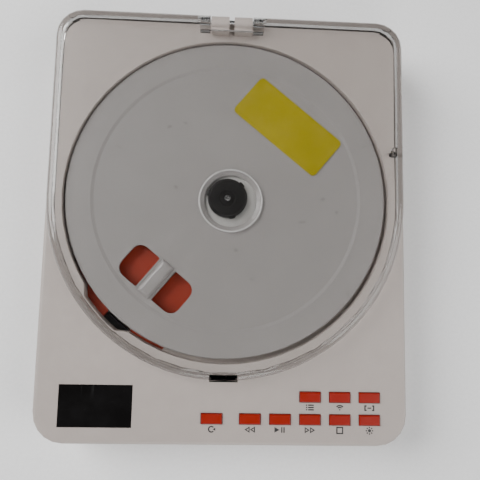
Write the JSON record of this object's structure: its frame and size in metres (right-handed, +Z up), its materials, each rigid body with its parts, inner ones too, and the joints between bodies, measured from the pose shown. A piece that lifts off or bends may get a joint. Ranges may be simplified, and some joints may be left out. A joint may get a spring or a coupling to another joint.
{
  "type": "portable CD player",
  "caption": "Portable CD player with a white case, a clear hinged lid over the disc well, a transport card, an orange drive cover and orange buttons.",
  "frame": {"origin": "under the middle of the case, on the plane that the rubber feet stand on", "axes": "+Z up, +Y from the buttons towards the lid's hinge, +X to the right seen from the buttons"},
  "size_m": [0.134, 0.159, 0.0265],
  "materials": {
    "white_plastic": "fine satin, warm white",
    "card_plastic": "satin, pale grey",
    "clear_plastic": "clear, glossy",
    "orange_plastic": "satin orange",
    "black_plastic": "satin black",
    "glossy_black": "glossy black",
    "yellow_film": "satin yellow film",
    "steel": "ground steel",
    "brass": "machined brass",
    "black_rubber": "matt rubber",
    "board_green": "green solder resist",
    "lens_glass": "coated lens",
    "foil_silver": "satin silver",
    "natural_plastic": "natural plastic"
  },
  "bodies": {
    "case": {"bottom_case": "white_plastic", "top_case": "white_plastic", "display_window": "glossy_black", "hinge_pin": "steel", "lid_switch_body": "black_plastic", "drive_cover": "orange_plastic", "drive_chassis": "black_plastic", "drive_damper_1": "black_rubber", "drive_damper_2": "black_rubber", "drive_damper_3": "black_rubber", "spindle_motor": "foil_silver", "sled_motor": "foil_silver", "main_guide_rod": "steel", "side_guide_rod": "steel", "gear_shaft": "steel", "main_board": "board_green", "main_chip": "black_plastic", "main_capacitor": "foil_silver", "board_link": "black_plastic", "key_board": "board_green", "key_pad": "black_rubber", "display_module": "black_plastic", "battery": "foil_silver", "headphone_jack": "black_plastic", "charging_socket": "steel", "power_switch": "steel", "rubber_foot_1": "black_rubber", "case_screw_1": "steel", "rubber_foot_2": "black_rubber", "case_screw_2": "steel", "rubber_foot_3": "black_rubber", "case_screw_3": "steel", "rubber_foot_4": "black_rubber", "case_screw_4": "steel"},
    "lid": {"lid": "clear_plastic"},
    "lid_catch": {"lid_catch": "black_plastic"},
    "lid_switch_pin": {"lid_switch_pin": "black_plastic"},
    "turntable": {"turntable": "natural_plastic", "disc_hub": "black_plastic", "spindle_shaft": "steel"},
    "claw_1": {"hub_claw_1": "black_plastic"},
    "claw_2": {"hub_claw_2": "black_plastic"},
    "claw_3": {"hub_claw_3": "black_plastic"},
    "pickup": {"pickup_sled": "black_plastic", "lens_holder": "black_plastic", "pickup_lens": "lens_glass"},
    "drive_gear": {"drive_gear": "natural_plastic"},
    "motor_pinion": {"motor_pinion": "brass"},
    "power_slider": {"power_slider": "black_plastic"},
    "transport_card": {"transport_card": "card_plastic", "card_sticker": "yellow_film"},
    "button_mode": {"button_mode": "orange_plastic"},
    "button_previous": {"button_previous": "orange_plastic"},
    "button_play": {"button_play": "orange_plastic"},
    "button_next": {"button_next": "orange_plastic"},
    "button_stop": {"button_stop": "orange_plastic"},
    "button_light": {"button_light": "orange_plastic"},
    "button_program": {"button_program": "orange_plastic"},
    "button_wireless": {"button_wireless": "orange_plastic"},
    "button_section": {"button_section": "orange_plastic"}
  },
  "joints": [
    {"name": "lid_hinge", "type": "hinge", "parent": "case", "child": "lid", "pos_m": [0, 0.0772, 0.0232], "axis": [-1, 0, 0], "range_deg": [0, 95]},
    {"name": "lid_catch_slide", "type": "slide", "parent": "case", "child": "lid_catch", "axis": [0, -1, 0], "range_m": [0, 0.0006], "stiffness_N_per_m": 800},
    {"name": "lid_switch_slide", "type": "slide", "parent": "case", "child": "lid_switch_pin", "axis": [0, 0, -1], "range_m": [0, 0.0008], "stiffness_N_per_m": 300},
    {"name": "turntable_spin", "type": "hinge", "parent": "case", "child": "turntable", "pos_m": [0, 0.0098, 0.0171], "axis": [0, 0, 1], "continuous": true},
    {"name": "claw_1_slide", "type": "slide", "parent": "turntable", "child": "claw_1", "axis": [-0.7071, -0.7071, 0], "range_m": [0, 0.0005], "stiffness_N_per_m": 200},
    {"name": "claw_2_slide", "type": "slide", "parent": "turntable", "child": "claw_2", "axis": [0.9659, -0.2588, 0], "range_m": [0, 0.0005], "stiffness_N_per_m": 200},
    {"name": "claw_3_slide", "type": "slide", "parent": "turntable", "child": "claw_3", "axis": [-0.2588, 0.9659, 0], "range_m": [0, 0.0005], "stiffness_N_per_m": 200},
    {"name": "pickup_slide", "type": "slide", "parent": "case", "child": "pickup", "axis": [-0.6428, -0.766, 0], "range_m": [0, 0.033]},
    {"name": "drive_gear_turn", "type": "hinge", "parent": "case", "child": "drive_gear", "pos_m": [-0.02967, 0.00859, 0.0044], "axis": [0, 0, 1], "range_deg": [-530, 0]},
    {"name": "motor_pinion_turn", "type": "hinge", "parent": "case", "child": "motor_pinion", "pos_m": [-0.026, 0.01896, 0.0044], "axis": [0, 0, 1], "range_deg": [0, 1800]},
    {"name": "power_slider_slide", "type": "slide", "parent": "case", "child": "power_slider", "axis": [0, 1, 0], "range_m": [0, 0.002]},
    {"name": "transport_card_lift", "type": "slide", "parent": "case", "child": "transport_card", "axis": [0, 0, 1], "range_m": [0, 0.004]},
    {"name": "button_mode_press", "type": "slide", "parent": "case", "child": "button_mode", "axis": [0, 0, -1], "range_m": [0, 0.0004], "stiffness_N_per_m": 900},
    {"name": "button_previous_press", "type": "slide", "parent": "case", "child": "button_previous", "axis": [0, 0, -1], "range_m": [0, 0.0004], "stiffness_N_per_m": 900},
    {"name": "button_play_press", "type": "slide", "parent": "case", "child": "button_play", "axis": [0, 0, -1], "range_m": [0, 0.0004], "stiffness_N_per_m": 900},
    {"name": "button_next_press", "type": "slide", "parent": "case", "child": "button_next", "axis": [0, 0, -1], "range_m": [0, 0.0004], "stiffness_N_per_m": 900},
    {"name": "button_stop_press", "type": "slide", "parent": "case", "child": "button_stop", "axis": [0, 0, -1], "range_m": [0, 0.0004], "stiffness_N_per_m": 900},
    {"name": "button_light_press", "type": "slide", "parent": "case", "child": "button_light", "axis": [0, 0, -1], "range_m": [0, 0.0004], "stiffness_N_per_m": 900},
    {"name": "button_program_press", "type": "slide", "parent": "case", "child": "button_program", "axis": [0, 0, -1], "range_m": [0, 0.0004], "stiffness_N_per_m": 900},
    {"name": "button_wireless_press", "type": "slide", "parent": "case", "child": "button_wireless", "axis": [0, 0, -1], "range_m": [0, 0.0004], "stiffness_N_per_m": 900},
    {"name": "button_section_press", "type": "slide", "parent": "case", "child": "button_section", "axis": [0, 0, -1], "range_m": [0, 0.0004], "stiffness_N_per_m": 900}
  ],
  "couplings": [
    {"joint": "drive_gear_turn", "follows": "pickup_slide", "rad_per_m": -277.78},
    {"joint": "motor_pinion_turn", "follows": "pickup_slide", "rad_per_m": 944.44}
  ]
}
